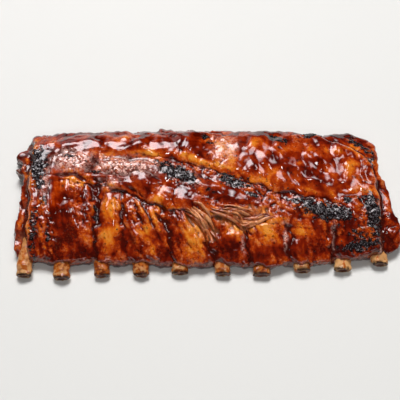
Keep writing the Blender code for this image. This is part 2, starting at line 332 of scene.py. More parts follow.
# How far lips and creases wander from their lines at each place: slow noise, sideways and back and forth.
def wanderAt(x, y):
    ground = np.stack([x, y, np.zeros_like(x)], axis=-1)
    return [noise(ground, lips["wanderSize"], seed, 2) * lips["wander"] for seed in (3, 8)]


# A rounded roll: 0 in front of a line, then a quarter circle up to 1 at the end of the run behind it.
def roll(distance, run):
    t = np.clip(distance / run, 0, 1)
    return np.sqrt(1 - (1 - t) ** 2)


# How far each place lies behind a lip's line.
def behindLip(name, x, y):
    return y - middle[1] - half[1] * through(lips[name], (x - middle[0]) / half[0])


# How far the mounds between the creases fall short of their tops: each is a flattened half
# circle across, and a narrow valley runs along each crease. Both fade out under the flap.
def moundDrop(x, y, wander):
    u, v = shares(x + mounds["wander"] * wander[0], y + wander[1])
    back = (v - mounds["frontV"]) / (mounds["backV"] - mounds["frontV"])
    lines = np.stack([front + (behind - front) * back for front, behind, depth in mounds["creases"]])
    depths = np.array([depth for front, behind, depth in mounds["creases"]])
    number = np.clip(np.sum(u > lines, axis=0) - 1, 0, len(lines) - 2)
    left, right = (np.take_along_axis(lines, number[None] + side, 0)[0] for side in (0, 1))
    share = np.clip((u - left) / (right - left), 0, 1)
    depth = depths[number] * (1 - share) + depths[number + 1] * share
    domed = np.sqrt(1 - np.abs(2 * share - 1) ** mounds["squareness"])
    nearest = np.minimum(share, 1 - share) * (right - left) * half[0]
    valley = bell(nearest, 0, mounds["valleyHalfWidth"])
    sunk = depth * (mounds["domeShare"] * (1 - domed) + mounds["valleyShare"] * valley)
    behind = behindLip("flap", x + wander[0], y + wander[1]) / half[1]
    return sunk * (1 - rise(*mounds["underFlap"], behind))


# The tallest of the bulges at each place: each is a low paraboloid over an oval.
def bulgeHeight(x, y):
    total = np.zeros_like(x)
    for *oval, tall in bulges["ovals"]:
        dome = np.clip(1 - fromOval(x, y, *oval), 0, 1) ** bulges["fullness"]
        total = smoothMax(total, tall * dome, bulges["blend"])
    return total


# How far the meat is cut back at both ends: a low strip, with a groove that bares the end bone. The groove
# widens and runs straight into the bone's tip towards the front.
def endDrop(x, y):
    u, v = shares(x, y)
    wall = ends["wall"] / half[0]
    u = u + sum(size * np.sin(v * waves) for size, waves in ends["waves"])
    leftSide = 1 - rise(ends["thickFrom"] - wall, ends["thickFrom"], u)
    rightSide = rise(ends["thickTo"], ends["thickTo"] + wall, u) * (1 - rise(*ends["rightStripBack"], v))
    inwards = ends["grooveInwards"] * rise(-1.0, -0.6, v)
    halfWidth = ends["grooveHalfWidth"] * (1 + ends["grooveWidens"] * rise(-0.55, -0.9, v))
    total = np.zeros_like(x)
    endBones = boneNodes[0], boneNodes[-1]
    sides = zip((leftSide, rightSide), endBones, (inwards, -inwards), ends["grooveFrontOf"])
    for side, name, shift, frontOf in sides:
        edge = middle[1] + frontOf * half[1]
        bared = bell(x, boneX(name, y) + shift, halfWidth) * (1 - rise(edge - ends["grooveRun"], edge, y))
        total += side * (ends["drop"] + ends["grooveDepth"] * bared)
    return total


# The height of the top at each place: crown, lips and bulges, less the outer band and the cut ends.
def topHeight(x, y, wander):
    u, v = shares(x, y)
    height = through(slab["crown"], v)
    for name in ("flap", "upper"):
        distance = behindLip(name, x + wander[0], y + wander[1])
        height += through(lips[name + "Rise"], u) * roll(distance, lips[name + "Run"])
    height += bulgeHeight(x + wander[0], y + wander[1])
    outside = rise(0, band["run"], behindLip("band", x, y + wander[1] * band["wander"]))
    height -= band["step"] * outside * rise(*band["fromU"], u) * rise(*band["fromV"], v)
    height -= endDrop(x, y)
    return np.maximum(height, slab["waterline"] + slab["leastOverIt"])


# Points spaced evenly along half a superellipse: across from 1 to -1, and share of the full height.
def roundedHalf(roundness, halfWidth, height, count):
    angle = np.linspace(0, np.pi, 4001)
    across = np.sign(np.cos(angle)) * np.abs(np.cos(angle)) ** (2 / roundness)
    share = np.abs(np.sin(angle)) ** (2 / roundness)
    steps = np.hypot(np.diff(across) * halfWidth, np.diff(share) * height)
    length = np.concatenate([[0], np.cumsum(steps)])
    wanted = np.linspace(0, length[-1], count)
    share = np.interp(wanted, length, share)
    share[[0, -1]] = 0
    return np.interp(wanted, length, across), share


# Closed tubes from an array of tubes by rings by sides, or of rings by sides for one tube:
# quads round each, and a fan of triangles to a tip at both ends.
def tubesMesh(name, tubes):
    tubes = tubes.reshape(-1, *tubes.shape[-3:])
    count, rings, sides = tubes.shape[:3]
    tips = np.stack([tubes[:, 0].mean(axis=1), tubes[:, -1].mean(axis=1)], axis=1)
    points = np.concatenate([tubes.reshape(count, -1, 3), tips], axis=1)
    first = np.arange(count)[:, None, None] * points.shape[1]
    ring = first + np.arange(rings - 1)[None, :, None] * sides
    side = np.arange(sides)[None, None, :]
    after = (side + 1) % sides
    corners = [ring + side, ring + after, ring + sides + after, ring + sides + side]
    quads = np.stack(corners, axis=-1).reshape(-1, 4)
    start, side, after = first[:, 0], side[0], after[0]
    last, tip = start + (rings - 1) * sides, start + rings * sides
    firstFan = np.stack(np.broadcast_arrays(start + after, start + side, tip), axis=-1).reshape(-1, 3)
    lastFan = np.stack(np.broadcast_arrays(last + side, last + after, tip + 1), axis=-1).reshape(-1, 3)
    faces = quads.tolist() + firstFan.tolist() + lastFan.tolist()
    mesh = bpy.data.meshes.new(name)
    mesh.from_pydata(points.reshape(-1, 3).tolist(), [], faces)
    mesh.shade_smooth()
    piece = bpy.data.objects.new(name, mesh)
    bpy.context.scene.collection.objects.link(piece)
    return piece


# For each named field, one number at each vertex for the materials to read; a tube's two tips
# take the mean of its first and last ring.
def addFields(piece, fields):
    for name, values in fields.items():
        values = values.reshape(-1, *values.shape[-2:])
        tips = np.stack([values[:, 0].mean(axis=-1), values[:, -1].mean(axis=-1)], axis=-1)
        full = np.concatenate([values.reshape(len(values), -1), tips], axis=-1)
        attribute = piece.data.attributes.new(name, "FLOAT", "POINT")
        attribute.data.foreach_set("value", full.ravel().astype(np.float32))


# The meat's skin: its mesh, and the height and cell size of each kind of relief. The sauce's level is
# a sum of what lies on each kind of place, and each of the marks below is an oval with a strength.
skin = {
    "stations": 436,
    "topPoints": 172,
    "underPoints": 46,
    "ragged": 0.0021,
    "raggedSize": 0.013,
    "folds": 0.0055,
    "foldSize": 0.017,
    "fibre": 0.0012,
    "fibreSize": (0.0036, 0.016, 0.0036),
    "crust": 0.00085,
    "crustSize": 0.0034,
    "charLift": 0.0003,
    "charCrumble": 0.0009,
    "charSize": 0.0036,
    "tornCrumble": 0.0013,
    "tornSize": (0.0045, 0.009, 0.004),
    "lumps": 0.0011,
    "leftLumpSize": (0.016, 0.012, 0.014),
    "rightLumpSize": (0.011, 0.017, 0.014),
    "sauceSwell": 0.001,
    "swellSize": 0.019,
    "sauceRipple": 0.00034,
    "rippleSize": 0.009,
    "sauceInCreases": 0.0003,
    "sauceOnSmooth": 0.0009,
    "sauceOnTorn": -0.0012,
    "sauceOnCrust": -0.0006,
    "sauceElsewhere": -0.0001,
    "sauceBlend": 0.00025,
    "underShare": 0.35,
    "underSink": 0.0009,
    "boneShows": 0.0062,
    "boneRise": 0.0014,
    "warp": 0.003,
    "warpSize": 0.006,
    "pooledShadeDepth": 0.0006,
    "valleyDepth": 0.0022,
    "cloudSize": 0.013,
    "sheenLineWidth": 0.0009,
}
# How light the glaze is, on a scale of 0 to 1: its middle shade, and what each thing adds in full.
lightness = {
    "middle": 0.44,
    "amber": 0.4,
    # Dark marks are dark sauce, some of them painted shade under lumps.
    "dark": -0.26,
    # The crest is lighter for thin glaze and as painted light on the lip's roll.
    "thinLitCrest": 0.4,
    "clouds": 0.33,
    "smooth": -0.1,
    "fibres": 0.22,
    "thickSauce": -0.28,
    # Valleys and hollows are darker as painted shade, and for the sauce that pools in them.
    "valley": -0.25,
    "pooledShade": -0.2,
    "ridge": 0.18,
    "cutEnds": -0.16,
    "backEdge": -0.2,
    "frontEdge": -0.14,
    "underside": -0.3,
}
# Rough, dry patches of crust.
crustMarks = [
    (-0.42, 0.33, 0.03, 0.009, -4, 1), (-0.69, 0.42, 0.026, 0.012, 0, 1),
    (-0.62, -0.3, 0.015, 0.02, 0, 0.6), (-0.5, 0.075, 0.012, 0.008, 0, 0.9),
    (-0.36, -0.3, 0.01, 0.02, 14, 0.7), (0.2, -0.018, 0.07, 0.01, -20, 0.9),
    (-0.15, 0.237, 0.035, 0.012, -27, 0.9), (0.6, -0.312, 0.04, 0.01, -14, 0.9),
    (0.8, -0.51, 0.015, 0.02, 0, 0.8), (0.09, 0.65, 0.01, 0.016, 0, 1), (0.5, 0.826, 0.04, 0.008, -8, 0.7),
    (-0.82, -0.6, 0.01, 0.03, 0, 0.7), (-0.9, 0.3, 0.008, 0.04, 0, 0.6),
    (-0.83, 0.15, 0.008, 0.014, 0, 0.8), (-0.7, 0.1, 0.013, 0.01, 0, 0.7),
]
# Smooth runs and pools of sauce.
sauceMarks = [
    (-0.785, 0.1, 0.0055, 0.034, 2, 1.1), (-0.5, 0.16, 0.02, 0.003, -6, 0.7),
    (-0.64, 0.74, 0.026, 0.011, 6, 1), (-0.42, 0.7, 0.022, 0.013, -10, 1),
    (-0.24, 0.62, 0.022, 0.013, -22, 1), (0.45, 0.375, 0.065, 0.024, -14, 1),
    (0.3, 0.59, 0.03, 0.024, 28, 1), (0.62, 0.473, 0.026, 0.03, -20, 1),
    (-0.095, 0.72, 0.02, 0.0145, -8, 1.1), (0.135, -0.72, 0.014, 0.007, 0, 1),
    (0.42, -0.8, 0.016, 0.01, 0, 0.6), (0.74, -0.46, 0.006, 0.02, 0, 0.7),
    (-0.28, 0.25, 0.024, 0.009, -25, 0.8), (-0.36, 0.12, 0.014, 0.009, -30, 0.8),
    (-0.74, -0.2, 0.006, 0.03, 0, 0.6), (0.1, -0.05, 0.03, 0.008, -20, 0.6),
    (-0.5, -0.4, 0.007, 0.03, 0, 0.6),
]
# Charred patches.
charMarks = [
    (-0.884, 0.41, 0.0086, 0.0178, 0, 1.3), (-0.868, 0.1, 0.0046, 0.005, 0, 1),
    (-0.85, -0.13, 0.003, 0.006, 0, 0.7), (-0.888, -0.6, 0.0042, 0.026, 0, 0.62),
    (-0.815, -0.64, 0.0024, 0.0065, 0, 0.95), (-0.15, 0.235, 0.023, 0.0072, -25, 1.15),
    (0.137, 0.12, 0.0145, 0.0055, -20, 1.1), (0.245, -0.09, 0.0065, 0.0035, -10, 1),
    (0.02, -0.028, 0.005, 0.0025, -10, 0.7), (0.49, -0.17, 0.016, 0.0035, -8, 0.95),
    (0.62, -0.31, 0.027, 0.0082, -14, 1.2), (0.855, -0.34, 0.0062, 0.021, 8, 1.25),
    (0.72, -0.155, 0.0045, 0.003, 0, 0.9), (0.793, -0.75, 0.019, 0.0048, 10, 1.05),
    (0.8, -0.12, 0.0065, 0.003, 0, 0.9), (0.77, -0.62, 0.01, 0.008, 0, 0.5),
    (0.566, 0.88, 0.0085, 0.0042, 0, 1.1), (0.366, 0.777, 0.012, 0.0035, -25, 0.8),
    (0.81, 0.75, 0.018, 0.0042, -38, 0.75), (0.69, 0.89, 0.012, 0.003, -16, 0.7),
    (0.87, 0.52, 0.0035, 0.012, 0, 0.7), (-0.008, 0.83, 0.0045, 0.003, 0, 1),
    (0.018, 0.689, 0.0036, 0.003, 0, 0.9), (-0.72, 0.5, 0.0036, 0.0026, 0, 0.95),
    (-0.58, 0.26, 0.004, 0.003, 0, 0.8), (-0.57, -0.3, 0.0016, 0.009, 0, 0.7),
]
# Where the sauce is thin and light.
amberMarks = [
    (-0.46, 0.54, 0.026, 0.0055, -1, 1.1), (-0.3, 0.49, 0.013, 0.0065, -12, 1.1),
    (0.1, 0.59, 0.01, 0.013, 0, 0.9), (0.02, 0.72, 0.01, 0.006, 0, 0.6),
    (-0.02, 0.44, 0.03, 0.004, -24, 0.5), (0.28, 0.66, 0.007, 0.009, 0, 0.9),
    (0.78, 0.64, 0.016, 0.005, -34, 1), (0.75, 0.345, 0.009, 0.009, 0, 0.9),
    (0.36, 0.2, 0.016, 0.006, -20, 0.8), (0.24, 0.6, 0.008, 0.006, 0, 0.8),
    (0.56, 0.56, 0.009, 0.006, 0, 0.7), (0.65, 0.62, 0.009, 0.005, 0, 0.7),
    (0.14, 0.42, 0.009, 0.005, 0, 0.6), (0.5, 0.14, 0.012, 0.005, -15, 0.7),
    (-0.69, 0.14, 0.012, 0.0065, 4, 1.3), (-0.08, 0.46, 0.016, 0.005, -22, 0.8),
    (-0.5, 0.05, 0.01, 0.008, 0, 0.7), (-0.49, -0.25, 0.009, 0.02, -6, 0.9),
    (-0.5, -0.65, 0.008, 0.018, -8, 1), (-0.25, -0.214, 0.005, 0.022, -14, 1),
    (-0.28, -0.7, 0.005, 0.02, 10, 0.9), (-0.06, -0.62, 0.011, 0.022, -15, 1),
    (0.155, -0.58, 0.012, 0.011, 0, 1), (0.31, -0.5, 0.012, 0.018, 0, 0.9),
    (0.29, -0.78, 0.008, 0.009, 0, 0.8), (0.51, -0.568, 0.018, 0.006, 0, 0.8),
    (0.93, -0.15, 0.006, 0.02, 0, 0.7), (-0.955, -0.3, 0.0045, 0.03, 0, 0.7),
    (-0.94, 0.3, 0.005, 0.03, 0, 0.6),
]
# Painted highlights: pale specks for the glints on rough crust, and thin pale lines for reflections beside
# creases.
sheenSpeckMarks = [
    (-0.42, 0.34, 0.026, 0.009, -4, 1.3), (-0.7, 0.44, 0.017, 0.011, 0, 1.15),
    (-0.85, 0.16, 0.006, 0.014, 0, 0.8), (-0.15, 0.24, 0.02, 0.006, -25, 0.6),
    (0.1, 0.62, 0.01, 0.014, 0, 0.5), (-0.23, 0.31, 0.01, 0.006, -25, 0.8),
    (-0.5, 0.1, 0.009, 0.006, 0, 0.5), (0.405, -0.64, 0.0016, 0.012, 0, 0.9),
    (0.65, -0.62, 0.0015, 0.014, 0, 0.8), (0.19, -0.74, 0.0015, 0.009, 0, 0.6),
]
# Where the sauce lies darkest, with painted shade along the lower edges of lumps and between them.
darkSauceAndShadeMarks = [
    (-0.595, 0.38, 0.006, 0.013, -28, 1), (-0.42, 0.2, 0.03, 0.004, -8, 0.9),
    (-0.57, 0.74, 0.004, 0.012, 20, 0.7), (-0.345, 0.72, 0.004, 0.013, -20, 0.8),
    (-0.5, 0.6, 0.03, 0.003, 0, 0.6), (-0.375, -0.55, 0.026, 0.0024, -66, 0.9),
    (-0.285, -0.62, 0.024, 0.0022, -66, 0.9), (-0.17, -0.45, 0.02, 0.0024, -64, 0.9),
    (-0.03, -0.55, 0.016, 0.002, -62, 0.8), (-0.74, -0.45, 0.03, 0.04, 0, 0.75),
    (0.56, -0.8, 0.013, 0.01, -8, 0.5), (0.42, -0.6, 0.004, 0.02, 0, 0.6),
    (-0.83, 0.45, 0.0035, 0.016, 0, 0.8), (-0.095, 0.7, 0.015, 0.012, -8, 0.7),
    (-0.5, 0.2, 0.03, 0.0045, -4, 0.7), (0.12, -0.8, 0.016, 0.008, 0, 1),
    (-0.17, -0.7, 0.005, 0.02, 8, 0.8), (0.045, -0.7, 0.006, 0.014, 0, 1),
    (0.6, 0.1, 0.03, 0.009, -20, 0.5), (-0.2, 0, 0.02, 0.007, -25, 0.7), (0.2, -0.2, 0.04, 0.006, -20, 0.6),
    (0.65, -0.7, 0.006, 0.02, 0, 0.8), (0.5, -0.72, 0.026, 0.016, 0, 0.8),
    (0.7, -0.45, 0.014, 0.018, 0, 0.7),
]
# Where the glaze lies too deep to shine.
dullMarks = [
    (-0.78, -0.03, 0.006, 0.026, 0, 1), (-0.555, 0.74, 0.012, 0.0032, -62, 1),
    (-0.41, 0.66, 0.007, 0.0028, -30, 0.9), (-0.3, 0.78, 0.008, 0.003, 55, 0.9),
    (-0.7, 0.245, 0.022, 0.0032, -2, 0.9), (-0.5, 0.21, 0.026, 0.0032, -8, 0.8),
    (-0.6, 0.38, 0.005, 0.012, -28, 0.7), (-0.83, 0.44, 0.0035, 0.016, 0, 0.7),
    (-0.66, -0.16, 0.01, 0.006, 0, 0.7), (-0.055, 0.73, 0.009, 0.011, 0, 1),
    (0.16, 0.45, 0.014, 0.005, 60, 0.5), (0.45, 0.56, 0.014, 0.0045, 62, 0.7),
    (0.6, 0.4, 0.014, 0.0045, 64, 0.7),
]
# Where the meat is pulled apart.
tornMarks = [
    (-0.02, -0.509, 0.019, 0.009, -45, 1), (0.12, -0.45, 0.015, 0.007, -25, 1),
    (0.24, -0.342, 0.02, 0.0075, -6, 1),
]


# Which way each place of a grid of points faces: across its two directions.
def facing(points):
    aroundLoop = np.roll(points, -1, 1) - np.roll(points, 1, 1)
    normal = np.cross(aroundLoop, np.gradient(points, axis=0))
    return normal / (np.linalg.norm(normal, axis=-1, keepdims=True) + 1e-12)


# The base skin: a closed loop across the rack for each station along it, shrinking to a point
# at both ends. It carries what the steps after it ask of each place. Slant is the place
# sheared, so that fibres lean with it.
def baseSkin():
    above, below, endFace = slab["usualHeight"], slab["waterline"], half[1] * slab["endFaceShare"]
    acrossTop, shareTop = roundedHalf(slab["edgeRoundness"], half[1], above, skin["topPoints"])
    acrossUnder, shareUnder = roundedHalf(slab["underRoundness"], half[1], below, skin["underPoints"])
    along, shrink = roundedHalf(slab["endRoundness"], half[0], endFace, skin["stations"])
    across = np.concatenate([acrossTop, -acrossUnder[1:-1]])
    share = np.concatenate([shareTop, shareUnder[1:-1]])
    a, c = np.meshgrid(-along[1:-1], across, indexing="ij")
    small = shrink[1:-1, None]
    front, back = through(slab["frontEdge"], a), through(slab["backEdge"], a)
    y = middle[1] + half[1] * ((front + back) / 2 + (back - front) / 2 * c * small)
    v = (y - middle[1]) / half[1]
    left, right = through(slab["leftEdge"], v), through(slab["rightEdge"], v)
    x = middle[0] + half[0] * ((left + right) / 2 + (right - left) / 2 * a)
    onTop = (np.arange(len(across)) < skin["topPoints"]) * np.ones_like(x)
    ground = np.stack([x, y, (onTop - 0.5) * share * 0.012], axis=-1)
    ragged = rise(0.8, 1.0, np.maximum(np.abs(a), np.abs(c))) * skin["ragged"]
    x = x + ragged * noise(ground, skin["raggedSize"], 14, 3, 0.6)
    y = y + ragged * noise(ground, skin["raggedSize"], 15, 3, 0.6)
    wander = wanderAt(x, y)
    full = np.where(onTop > 0, topHeight(x, y, wander), underArch(y) - skin["underSink"])
    z = np.maximum(slab["waterline"] + (full - slab["waterline"]) * share * small, 0)
    base = np.stack([x, y, z], axis=-1)
    u, v = shares(x, y)
    slant = base.copy()
    slant[..., 0] += (0.25 + 0.32 * bell(u, -0.24, 0.2)) * y + 0.0015 * noise(base, 0.01, 47, 1)
    s = SimpleNamespace(base=base, x=x, y=y, u=u, v=v, onTop=onTop, small=small, slant=slant)
    s.normal = facing(base)
    s.stray = x + wander[0], y + wander[1]
    s.behindFlap = rise(-0.001, 0.003, behindLip("flap", *s.stray))
    s.drop = moundDrop(x, y, wander)
    s.smooth = rise(0.1, 0.6, ovals(x, y, sauceMarks))
    ribs = [bell(x, boneX(name, y), skin["boneShows"]) for name in boneNodes]
    s.overBone = np.max(ribs, axis=0) * (1 - rise(0.03, 0.045, y))
    return s


# How far the meat stands out from its base skin: folds, fibres, crust and char under a level
# of sauce, and lumps in both. Gives back that height and how thick the sauce lies.
def meatRelief(s):
    crusty = rise(0.15, 0.6, ovals(s.x, s.y, crustMarks)) + rise(0.25, 0.6, noise(s.base, 0.018, 71, 2))
    crusty = np.clip(crusty, 0, 1) * (1 - 0.85 * s.smooth)
    charry = rise(0.2, 0.6, ovals(s.x, s.y, charMarks))
    ragged = rise(0.2, 0.6, ovals(s.x, s.y, tornMarks))
    folds = -np.clip(0.5 - np.abs(noise(s.base, skin["foldSize"], 21, 2)) * 1.6, 0, None) ** 2
    fibre = noise(s.slant, skin["fibreSize"], 40, 2)
    onFlap = 0.35 + 0.65 * s.behindFlap
    relief = folds * skin["folds"] * onFlap * (1 - 0.5 * s.smooth)
    relief += (1 - s.behindFlap) * fibre * skin["fibre"] * (0.35 + 0.65 * crusty)
    relief += crusty * skin["crust"] * noise(s.base, skin["crustSize"], 31, 2, 0.6)
    crumble = skin["charCrumble"] * noise(s.base, skin["charSize"], 33, 3, 0.75)
    relief += charry * (skin["charLift"] + crumble)
    relief += ragged * skin["tornCrumble"] * noise(s.slant, skin["tornSize"], 36, 2, 0.6)
    level = skin["sauceSwell"] * noise(s.base, skin["swellSize"], 53, 1)
    level += skin["sauceRipple"] * (1 - 0.8 * s.smooth) * noise(s.base, skin["rippleSize"], 52, 2, 0.4)
    level += skin["sauceInCreases"] * rise(0.0015, 0.005, s.drop) + skin["sauceOnSmooth"] * s.smooth
    level += skin["sauceOnTorn"] * ragged + skin["sauceOnCrust"] * crusty + skin["sauceElsewhere"]
    out = smoothMax(relief, level, skin["sauceBlend"])
    toRight = rise(-0.1, 0.25, s.u)
    lumps = (1 - toRight) * noise(s.base, skin["leftLumpSize"], 55, 2)
    lumps += toRight * noise(s.slant, skin["rightLumpSize"], 56, 2, 0.22) * 1.3
    return out + skin["lumps"] * lumps * onFlap, out - relief


# What the glaze reads at each place. Its light and dark follow the shape: painted shade darkens hollows and
# valleys, where sauce also pools, and thick sauce is dark; amber where the sauce is thin, and a lighter
# crest along the upper lip, partly painted light. Flesh shows low on the walls where no sauce has dripped.
# Painted highlights lie along the cut edges and as pale specks on crust.
def meatFields(s, place, thick):
    base, z = s.base, place[..., 2]
    # Painted shade: small hollows and wide valleys are darker, where sauce also pools.
    pooledShade = np.clip((smoothed(z, 8) - z) / skin["pooledShadeDepth"], -1, 1)
    valley = np.clip((smoothed(z, 60) - z) / skin["valleyDepth"], -1, 1)
    warpX, warpY = (skin["warp"] * noise(base, skin["warpSize"], seed, 2) for seed in (61, 62))
    warped = s.x + warpX, s.y + warpY
    # A lighter line along the upper lip: thin glaze there, and painted light where its roll faces the light.
    thinLitCrest = bell(behindLip("upper", *s.stray), 0.005, 0.003)
    thinLitCrest *= rise(-0.25, -0.1, s.u) * (1 - rise(0.5, 0.7, s.u))
    adds = {
        "amber": ovals(*warped, amberMarks),
        "dark": ovals(*warped, darkSauceAndShadeMarks),
        "thinLitCrest": thinLitCrest * (0.45 + 0.55 * rise(-0.3, 0.3, noise(base, 0.016, 74, 2))),
        "clouds": noise(base, skin["cloudSize"], 76, 3),
        "smooth": s.smooth,
        "fibres": noise(s.slant, (0.004, 0.022, 0.004), 75, 2) * (1 - 0.8 * s.behindFlap),
        "thickSauce": np.clip((thick - 0.0008 * s.smooth) / 0.0009, 0, 1.2),
        "valley": np.clip(valley, 0, 1),
        "pooledShade": np.clip(pooledShade, 0, 1),
        "ridge": np.clip(-pooledShade, 0, 1),
        "cutEnds": rise(0.003, 0.008, endDrop(s.x, s.y)),
        "backEdge": rise(0.8, 0.95, s.v),
        "frontEdge": 1 - rise(-0.95, -0.6, s.v),
        "underside": 1 - s.onTop,
    }
    dripping = rise(-0.1, 0.4, noise(base, (0.011, 0.011, 0.05), 37, 2))
    wall = (1 - rise(0.35, 0.75, s.normal[..., 2])) * (1 - rise(0.013, 0.021, z)) * (1 - 0.7 * dripping)
    strip = adds["cutEnds"] * rise(-0.2, 0.25, noise(base, (0.006, 0.02, 0.006), 38, 2))
    wall = np.maximum(wall * (1 - rise(0.03, 0.05, s.y)), 0.45 * strip * (1 - rise(0.6, 0.8, s.u)))
    # A painted highlight line along the cut edges of the outer band and the right end.
    alongBand = bell(behindLip("band", s.x, s.y), band["run"] * 0.4, skin["sheenLineWidth"])
    alongBand *= rise(0.55, 0.7, s.u) * rise(0.1, 0.3, s.v)
    alongEnd = bell((s.u - ends["thickTo"] - 0.004) * half[0], 0, skin["sheenLineWidth"])
    alongEnd *= 1 - rise(0.1, 0.3, s.v)
    fatAndSheen = (alongBand + alongEnd) * rise(-0.4, 0.2, noise(base, 0.008, 39, 2))
    # Painted highlight specks, fewer in valleys.
    speckSheen = ovals(*warped, sheenSpeckMarks) * (1 - 0.8 * rise(0.3, 1, valley))
    burning = ovals(*warped, charMarks) + 0.5 * noise(base, 0.0034, 63, 3, 0.8)
    onTop = {
        "paintedSheen": fatAndSheen + speckSheen,
        "pooledShade": adds["pooledShade"],
        "char": rise(0.25, 0.9, burning),
        "torn": rise(0.3, 0.6, ovals(*warped, tornMarks)),
        "dull": rise(0.2, 0.7, ovals(*warped, dullMarks)),
        "wall": wall,
    }
    return {
        "warmth": lightness["middle"] + sum(lightness[name] * share for name, share in adds.items()),
        "sauce": thick * 1000,
        "overBone": s.overBone,
        "under": (1 - s.onTop) * rise(0.5, 0.9, -s.normal[..., 2]),
        **{name: values * s.onTop for name, values in onTop.items()},
    }


# The meat: relief stands on the base skin along its normals, less the mounds' drop and the
# hollows, with a low ridge under each bone. The lips lean forward over what lies in front of
# them. Gives back its top points too.
def makeMeat():
    s = baseSkin()
    out, thick = meatRelief(s)
    out = (out - s.drop - ovals(s.x, s.y, hollows)) * np.where(s.onTop > 0, 1, skin["underShare"])
    out = (out + (1 - s.onTop) * skin["boneRise"] * s.overBone) * np.clip(s.small * 1.2, 0, 1)
    place = s.base + s.normal * out[..., None]
    for name in ("flap", "upper"):
        edge = bell(behindLip(name, *s.stray), lips["overhangFrom"], lips["overhangRun"])
        lean = edge * through(lips[name + "Rise"], s.u) / lips["usualRise"]
        place[..., 1] -= lips["overhang"] * lean * s.onTop
    place[..., 2] = np.maximum(place[..., 2], 0)
    piece = tubesMesh("glazedMeat", place)
    addFields(piece, meatFields(s, place, thick))
    return piece, place[:, : skin["topPoints"]].reshape(-1, 3)


# The height of the finished meat under each place: that of the nearest point of its top.
def heightUnder(tops, x, y):
    nearest = [np.argmin((tops[:, 0] - a) ** 2 + (tops[:, 1] - b) ** 2) for a, b in zip(x, y)]
    return tops[nearest, 2]


# A socket wrapped so that Python's operators add Math nodes to the material.
class Wire:
    def __init__(self, shader, socket):
        self.shader, self.socket = shader, socket

    def math(self, operation, *values):
        return self.shader.add("ShaderNodeMath", {"operation": operation}, values)

    def __add__(self, other):
        return self.math("ADD", self, other)

    def __radd__(self, other):
        return self.math("ADD", other, self)

    def __sub__(self, other):
        return self.math("SUBTRACT", self, other)

    def __rsub__(self, other):
        return self.math("SUBTRACT", other, self)

    def __mul__(self, other):
        return self.math("MULTIPLY", self, other)

    def __rmul__(self, other):
        return self.math("MULTIPLY", other, self)

    def clamped(self):
        return self.shader.add("ShaderNodeClamp", {}, [self, 0.0, 1.0])

    # 0 below start and 1 above end, with a smooth step between.
    def rise(self, start, end):
        sockets = {"Value": self, "From Min": start, "From Max": end}
        return self.shader.add("ShaderNodeMapRange", {"interpolation_type": "SMOOTHSTEP"}, sockets)


# A material and the nodes that are added to it.
class Shader:
    def __init__(self, name):
        self.material = bpy.data.materials.new(name)
        self.material.use_nodes = True
        self.tree = self.material.node_tree
        self.surface = self.tree.nodes["Principled BSDF"]

    def setSocket(self, socket, value):
        if isinstance(value, Wire):
            self.tree.links.new(value.socket, socket)
        elif isinstance(value, (tuple, list)) and socket.type == "RGBA":
            socket.default_value = (*value, 1.0)
        else:
            socket.default_value = value

    # Any node: its type, its settings, then its sockets by name or in order. Gives back one output.
    def add(self, kind, settings, sockets, output=0):
        node = self.tree.nodes.new(kind)
        for key, value in settings.items():
            setattr(node, key, value)
        pairs = sockets.items() if isinstance(sockets, dict) else enumerate(sockets)
        for key, value in pairs:
            self.setSocket(node.inputs[key], value)
        return Wire(self, node.outputs[output])

    # A field of the mesh, one of those that addFields gave it.
    def field(self, name):
        return self.add("ShaderNodeAttribute", {"attribute_name": name}, {}, "Fac")

    # Colours laid one over another, each as (colour, share), with the share kept within 0 to 1. Sockets
    # 0, 6 and 7 of a Mix node are its factor and its two colours, and output 2 is the mixed colour.
    def laid(self, colour, *layers):
        for over, share in layers:
            colour = self.add("ShaderNodeMix", {"data_type": "RGBA"}, {0: share, 6: colour, 7: over}, 2)
        return colour

    # A ramp of colours over 0 to 1, from (place, colour) stops.
    def ramp(self, factor, stops):
        wire = self.add("ShaderNodeValToRGB", {}, [factor])
        elements = wire.socket.node.color_ramp.elements
        for place, colour in stops[2:]:
            elements.new(place)
        for element, (place, colour) in zip(elements, stops):
            element.position = place
            element.color = (*colour, 1)
        return wire

    # Cloudy noise whose clouds are about this size.
    def grain(self, size, detail=3):
        place = self.add("ShaderNodeTexCoord", {}, {}, "Object")
        sockets = {"Vector": place, "Scale": 1 / size, "Detail": detail}
        return self.add("ShaderNodeTexNoise", {}, sockets, "Fac")

    def bump(self, height, distance, strength):
        sockets = {"Height": height, "Distance": distance, "Strength": strength}
        return self.add("ShaderNodeBump", {}, sockets, "Normal")

    # Sets the surface's sockets by name, with _ for a space.
    def surfaceIs(self, **values):
        for key, value in values.items():
            self.setSocket(self.surface.inputs[key.replace("_", " ")], value)


# A colour as a painter's 0 to 255 numbers, turned into the linear light that shaders use.
def paint(red, green, blue):
    share = np.array([red, green, blue]) / 255
    return tuple(np.where(share < 0.04045, share / 12.92, ((share + 0.055) / 1.055) ** 2.4).tolist())


